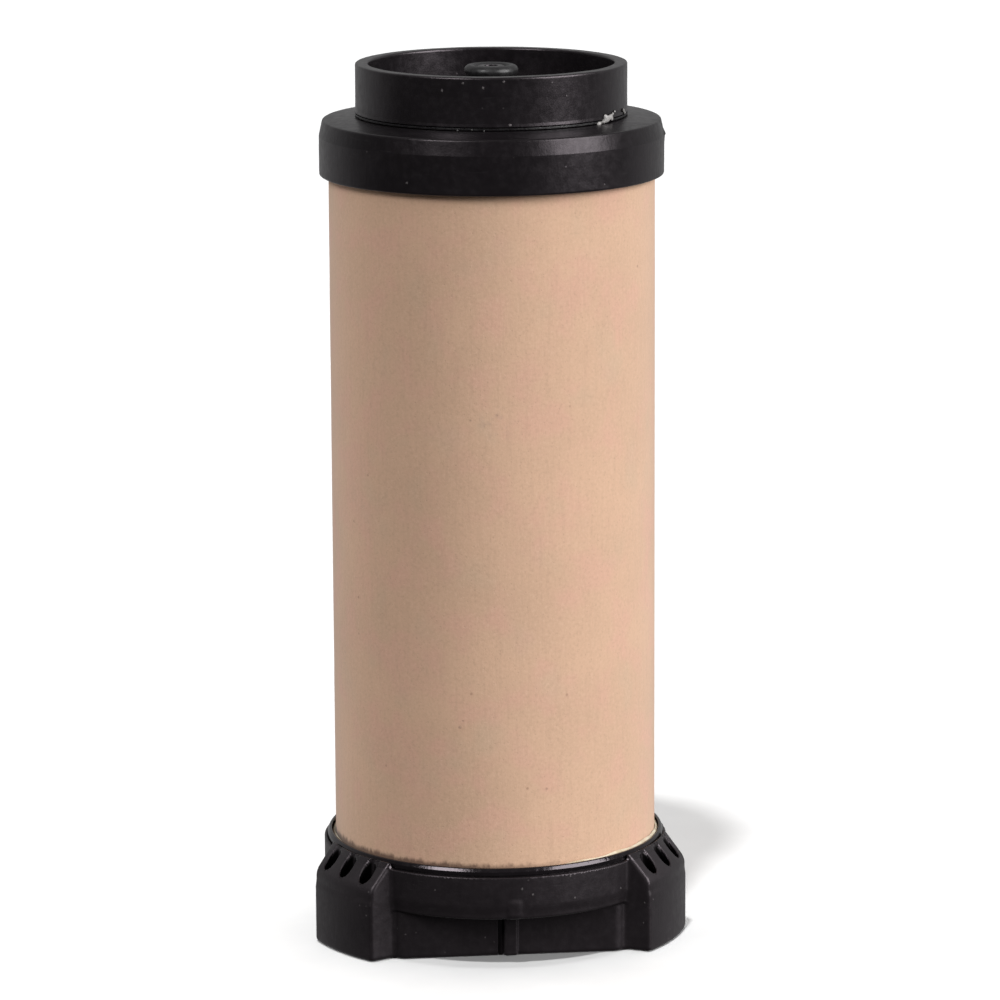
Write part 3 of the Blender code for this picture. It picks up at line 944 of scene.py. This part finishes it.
def plastic_material(name, base, roughness, specks, dust_places):
    """Moulded black plastic: faint flow marks, handling haze, dust, scratches and painted shade
    inside the lugs' slots.
    """
    s = Surface(name, roughness)
    # painted shade inside the lugs' slots: darkens their colour and dims their reflections
    slot_shade_share = painted_slot_shade(s)
    taper = s.between(s.axis("Z"), CAP_CREASE + 0.1, CAP_EDGE + 0.1, 0.2)
    gloss = s.mix(taper, PLASTIC_GLOSS, TAPER_GLOSS)
    # painted shade: reflections dimmed almost to nothing inside the slots
    gloss = s.mix(slot_shade_share, gloss, SLOT_SHADE_GLOSS)
    s.tree.links.new(gloss, s.shader.inputs["Specular Tint"])
    dark = tuple(0.8 * c for c in base)
    light = tuple(1.3 * c for c in base)
    cloud = s.noise(0.12, 4.0, 0.6)
    colour = s.mix(s.step(cloud, 0.3, 0.7), dark, light)
    mottle = s.noise(0.9, 3.0, 0.6)
    haze = s.product(s.step(mottle, 0.5, 0.8), s.step(cloud, 0.35, 0.65), 0.3)
    colour = s.mix(haze, colour, (0.016, 0.0145, 0.016))
    dust = s.step(s.cells(0.6), 0.11, 0.04)
    sparse = s.step(s.noise(0.22, 2.0), 0.5, 0.65)
    dust = s.product(dust, sparse, specks)
    dust = s.math('MAXIMUM', dust, s.spots(dust_places, 0.2))
    colour = s.mix(dust, colour, (0.085, 0.078, 0.077))
    scratch = s.noise(0.8, 2.0, 0.5, s.stretched(0.25, 0.25, 4.0))
    scratch = s.step(scratch, 0.70, 0.74, 0.0, 0.25)
    colour = s.mix(scratch, colour, (0.03, 0.028, 0.029))
    # painted shade: near-black colour on the slot walls
    s.colour(s.mix(slot_shade_share, colour, (0.0008, 0.0007, 0.0007)))
    rough = s.step(mottle, 0.3, 0.7, roughness - 0.03, roughness + 0.05)
    lip = s.between(s.axis("Z"), LIP_UNDERSIDE, RIM_TOP + 0.1, 0.1)
    rough = s.math('SUBTRACT', rough, s.math('MULTIPLY', lip, LIP_GLOSS))
    s.roughness(s.math('ADD', rough, s.math('MULTIPLY', dust, 0.4)))
    fine = s.noise(3.4, 2.0, 0.5)
    broad = s.noise(0.5, 2.0, 0.5)
    drawn = s.noise(1.6, 3.0, 0.6, s.stretched(1.0, 1.0, 0.22))
    height = s.math('ADD', s.math('MULTIPLY', fine, 0.3), broad)
    height = s.math('ADD', height, s.math('MULTIPLY', drawn, 0.5))
    s.bump(s.math('ADD', height, s.math('MULTIPLY', dust, 1.5)), 0.035)
    return s.material


def potting_material():
    s = Surface("potting", 0.42)
    s.shader.inputs["Subsurface Weight"].default_value = 0.2
    s.shader.inputs["Subsurface Radius"].default_value = (0.001, 0.0008, 0.0005)
    s.shader.inputs["Subsurface Scale"].default_value = 0.4
    cloud = s.noise(0.5, 4.0, 0.6)
    colour = s.mix(s.step(cloud, 0.35, 0.65), (0.50, 0.42, 0.30), (0.66, 0.60, 0.47))
    bubbles = s.step(s.cells(1.4), 0.16, 0.08)
    s.colour(s.mix(s.math('MULTIPLY', bubbles, 0.4), colour, (0.28, 0.22, 0.15)))
    s.roughness(s.step(cloud, 0.3, 0.7, 0.3, 0.55))
    s.bump(s.math('SUBTRACT', cloud, bubbles), 0.06)
    return s.material


def bond_material():
    """Adhesive: near-black where it lies flush in the joint, pale grey where it stands proud, and
    darker on its front except at the right.
    """
    s = Surface("bond_grey", 0.35)
    cloud = s.noise(1.4, 3.0, 0.6)
    colour = s.mix(s.step(cloud, 0.35, 0.65), (0.10, 0.094, 0.088), (0.36, 0.345, 0.335))
    proud = s.step(s.distance_from_axis(), COLLAR_R + 0.1, COLLAR_R + 0.18)
    front = s.product(s.step(s.axis("X"), 12.0, 14.0, 0.82, 0.0),
                      s.step(s.axis("Y"), 2.0, -2.0))
    colour = s.mix(front, colour, (0.03, 0.028, 0.028))
    s.colour(s.mix(proud, (0.0048, 0.0039, 0.0046), colour))
    s.roughness(s.step(cloud, 0.3, 0.7, 0.26, 0.5))
    s.bump(cloud, 0.08)
    return s.material


def rubber_material():
    s = Surface("oring_rubber", 0.42)
    cloud = s.noise(1.1, 3.0, 0.6)
    s.colour(s.mix(s.step(cloud, 0.3, 0.7), (0.008, 0.0075, 0.008), (0.016, 0.015, 0.016)))
    s.roughness(s.step(cloud, 0.3, 0.7, 0.36, 0.5))
    s.bump(s.noise(5.0, 3.0, 0.6), 0.006)
    return s.material


def carbon_material():
    """Pressed granules of activated carbon with glinting flakes."""
    s = Surface("carbon", 0.8)
    grain = s.cells(2.2)
    s.colour(s.mix(s.step(grain, 0.1, 0.6), (0.022, 0.021, 0.021), (0.006, 0.006, 0.006)))
    s.roughness(s.step(s.noise(3.0, 2.0), 0.35, 0.65, 0.45, 0.95))
    s.bump(grain, 0.25)
    return s.material


def fleece_material():
    """White non-woven fleece with long crossing fibres."""
    s = Surface("fleece", 0.95)
    s.shader.inputs["Sheen Weight"].default_value = 0.3
    across = s.noise(1.2, 4.0, 0.7, s.stretched(0.5, 3.0, 1.5))
    along = s.noise(1.2, 4.0, 0.7, s.stretched(3.0, 0.5, 0.7))
    fibre = s.math('MAXIMUM', across, along)
    s.colour(s.mix(s.step(fibre, 0.4, 0.7), (0.58, 0.57, 0.53), (0.80, 0.79, 0.76)))
    s.roughness(s.step(fibre, 0.3, 0.7, 0.85, 1.0))
    s.bump(fibre, 0.15)
    return s.material


def gasket_material():
    """Closed-cell foam with tiny open pores on its cut faces."""
    s = Surface("core_gasket", 0.9)
    pore = s.step(s.cells(1.6), 0.3, 0.12)
    tone = s.step(s.noise(0.3, 3.0), 0.3, 0.7)
    colour = s.mix(tone, (0.20, 0.20, 0.19), (0.29, 0.285, 0.275))
    s.colour(s.mix(pore, colour, (0.09, 0.09, 0.085)))
    s.roughness(s.step(pore, 0.0, 1.0, 0.85, 1.0))
    s.bump(s.math('SUBTRACT', 1.0, pore), 0.12)
    return s.material


def porous_material():
    """Sintered white beads."""
    s = Surface("porous_disc", 0.85)
    bead = s.cells(3.0, 0.8)
    s.colour(s.mix(s.step(bead, 0.2, 0.6), (0.84, 0.84, 0.82), (0.52, 0.51, 0.48)))
    s.roughness(s.step(bead, 0.2, 0.6, 0.7, 1.0))
    s.bump(s.math('SUBTRACT', 1.0, bead), 0.12)
    return s.material


# ---------------------------------------------------------------- putting together

def place(obj, node, slot, material):
    """Ride on the one body, stand for a CAD node and take its finish; slot is not used."""
    obj.data.materials.clear()
    obj.data.materials.append(material)
    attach(obj, "root")
    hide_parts(node)


def finish_inside(materials):
    """Give the CAD nodes inside the cartridge their materials."""
    for node, slot in (("fleece_sleeve", "fleece"), ("carbon_core", "carbon"),
                       ("core_bottom_gasket", "core_gasket"),
                       ("core_top_gasket", "core_gasket"), ("fines_disc", "porous_disc")):
        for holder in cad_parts[node].material_slots:
            holder.material = materials[slot]


def make_materials():
    collar_dust = [
        on_wall(-11.6, 134.9, COLLAR_R, 0.26),
        on_wall(-20.6, 133.7, COLLAR_R, 0.26),
        on_wall(-3.3, 134.2, COLLAR_R, 0.3),
        on_wall(5.3, 135.1, COLLAR_R, 0.22),
        on_wall(7.7, 128.6, COLLAR_R, 0.26),
        on_wall(-28.4, 120.4, CAP_R, 0.26),
    ]
    ring_dust = [
        on_wall(8.7, 12.5, RING_R, 0.24),
        on_wall(12.4, 11.5, RING_R, 0.22),
        on_wall(27.0, 10.3, RING_R, 0.22),
        on_wall(46.1, 10.3, RING_R, 0.2),
        on_wall(-37.9, 11.9, RING_R, 0.24),
    ]
    black = (0.0048, 0.0039, 0.0046)
    dull_black = (0.0080, 0.0064, 0.0074)
    return {
        "ceramic": ceramic_material(),
        "black_plastic": plastic_material("black_plastic", black, 0.31, 0.5, collar_dust),
        "base_plastic": plastic_material("base_plastic", dull_black, 0.40, 0.7, ring_dust),
        "potting": potting_material(),
        "bond_grey": bond_material(),
        "oring_rubber": rubber_material(),
        "carbon": carbon_material(),
        "fleece": fleece_material(),
        "core_gasket": gasket_material(),
        "porous_disc": porous_material(),
    }


# ---------------------------------------------------------------- stage

def view_axes():
    """Unit vectors to the right of the camera and away from it, in plan."""
    right = Vector((math.cos(CAMERA_TURN), math.sin(CAMERA_TURN), 0.0))
    away = Vector((-math.sin(CAMERA_TURN), math.cos(CAMERA_TURN), 0.0))
    return right, away


def make_camera():
    """Long-lens camera above the cartridge's top, tilted down and rolled a little."""
    right, away = view_axes()
    forward = away * math.cos(CAMERA_PITCH) - Vector((0, 0, math.sin(CAMERA_PITCH)))
    up = right.cross(forward)
    turn = Matrix((right, up, -forward)).transposed().to_4x4()
    spot = right * CAMERA_SIDE - away * CAMERA_DISTANCE
    spot.z = RIM_TOP + CAMERA_ABOVE_RIM
    data = bpy.data.cameras.new("camera")
    data.lens = CAMERA_LENS
    data.clip_end = 50.0
    camera = bpy.data.objects.new("camera", data)
    roll = Matrix.Rotation(CAMERA_ROLL, 4, 'Z')
    camera.matrix_world = Matrix.Translation(spot * MM) @ turn @ roll
    bpy.context.scene.collection.objects.link(camera)
    bpy.context.scene.camera = camera


def add_lamp(name, side_degrees, elevation, strength, spread):
    """Soft distant light from an angle to the right of the camera's side."""
    data = bpy.data.lights.new(name, 'SUN')
    data.energy = strength
    data.angle = math.radians(spread)
    right, away = view_axes()
    side = math.radians(side_degrees)
    level = right * math.sin(side) - away * math.cos(side)
    lift = math.radians(elevation)
    towards = level * math.cos(lift) + Vector((0, 0, math.sin(lift)))
    lamp = bpy.data.objects.new(name, data)
    lamp.rotation_euler = towards.to_track_quat('Z', 'Y').to_euler()
    bpy.context.scene.collection.objects.link(lamp)
    return lamp


def make_world():
    """White to look at; as a light it is bright behind the object and dim in front."""
    world = bpy.data.worlds.new("studio")
    bpy.context.scene.world = world
    world.use_nodes = True
    tree = world.node_tree
    tree.nodes.clear()
    output = tree.nodes.new("ShaderNodeOutputWorld")
    coordinates = tree.nodes.new("ShaderNodeTexCoord")
    turn = tree.nodes.new("ShaderNodeMapping")
    turn.vector_type = 'NORMAL'
    turn.inputs["Rotation"].default_value = (0.0, 0.0, -CAMERA_TURN)
    tree.links.new(coordinates.outputs["Generated"], turn.inputs["Vector"])
    parts = tree.nodes.new("ShaderNodeSeparateXYZ")
    tree.links.new(turn.outputs["Vector"], parts.inputs[0])
    level = None
    for axis, start, end, low, high in WORLD_RAMPS:
        ramp = tree.nodes.new("ShaderNodeMapRange")
        ramp.interpolation_type = 'SMOOTHSTEP'
        tree.links.new(parts.outputs[axis], ramp.inputs["Value"])
        ramp.inputs["From Min"].default_value = start
        ramp.inputs["From Max"].default_value = end
        ramp.inputs["To Min"].default_value = low
        ramp.inputs["To Max"].default_value = high
        if level is None:
            level = ramp.outputs["Result"]
            continue
        total = tree.nodes.new("ShaderNodeMath")
        tree.links.new(level, total.inputs[0])
        tree.links.new(ramp.outputs["Result"], total.inputs[1])
        level = total.outputs[0]
    light = tree.nodes.new("ShaderNodeBackground")
    tree.links.new(level, light.inputs["Strength"])
    seen = tree.nodes.new("ShaderNodeBackground")
    seen.inputs["Strength"].default_value = WORLD_SEEN
    rays = tree.nodes.new("ShaderNodeLightPath")
    both = tree.nodes.new("ShaderNodeMixShader")
    tree.links.new(rays.outputs["Is Camera Ray"], both.inputs[0])
    tree.links.new(light.outputs[0], both.inputs[1])
    tree.links.new(seen.outputs[0], both.inputs[2])
    tree.links.new(both.outputs[0], output.inputs["Surface"])


def make_floor():
    """Pale matt floor that runs past the view."""
    signs = ((-1, -1), (1, -1), (1, 1), (-1, 1))
    corners = [(x * FLOOR_HALF, y * FLOOR_HALF, 0.0) for x, y in signs]
    floor = new_object("floor", corners, [(0, 1, 2, 3)], smooth=False)
    s = Surface("floor", 0.9)
    grain = s.noise(0.05, 3.0)
    s.colour(s.mix(s.step(grain, 0.3, 0.7), (0.65, 0.65, 0.65), (0.68, 0.68, 0.68)))
    s.shader.inputs["Specular IOR Level"].default_value = 0.0
    floor.data.materials.append(s.material)
    floor.visible_diffuse = False
    floor.visible_glossy = False
    return floor


def make_stage():
    """Floor, world, four lamps for the object and three for the floor alone."""
    bpy.context.scene.view_settings.view_transform = 'Standard'
    floor = make_floor()
    make_world()
    floor_only = bpy.data.collections.new("floor_only")
    floor_only.objects.link(floor)
    off_floor = bpy.data.collections.new("off_floor")
    off_floor.objects.link(floor)
    off_floor.collection_objects[0].light_linking.link_state = 'EXCLUDE'
    for settings in OBJECT_LAMPS:
        add_lamp(*settings).light_linking.receiver_collection = off_floor
    for settings in BACK_LAMPS:
        lamp = add_lamp(*settings)
        lamp.visible_glossy = False
        lamp.light_linking.receiver_collection = off_floor
    for settings in FLOOR_LAMPS:
        add_lamp(*settings).light_linking.receiver_collection = floor_only


def main():
    make_camera()
    materials = make_materials()
    for builder, node, slot in (
            (make_ceramic, "ceramic_tube", "ceramic"),
            (make_lower_potting, "lower_potting_ring", "potting"),
            (make_upper_potting, "upper_potting_ring", "potting"),
            (make_lower_cap, "lower_end_cap", "black_plastic"),
            (make_base, "lug_base", "base_plastic"),
            (make_outlet_cap, "outlet_cap", "black_plastic"),
            (make_collar, "outlet_collar", "black_plastic"),
            (make_bond, "collar_bond", "bond_grey"),
            (make_squeeze_out, "collar_bond", "bond_grey"),
            (make_spigot, "outlet_spigot", "black_plastic"),
            (make_oring, "spigot_oring", "oring_rubber")):
        place(builder(), node, slot, materials[slot])
    finish_inside(materials)
    make_stage()


main()
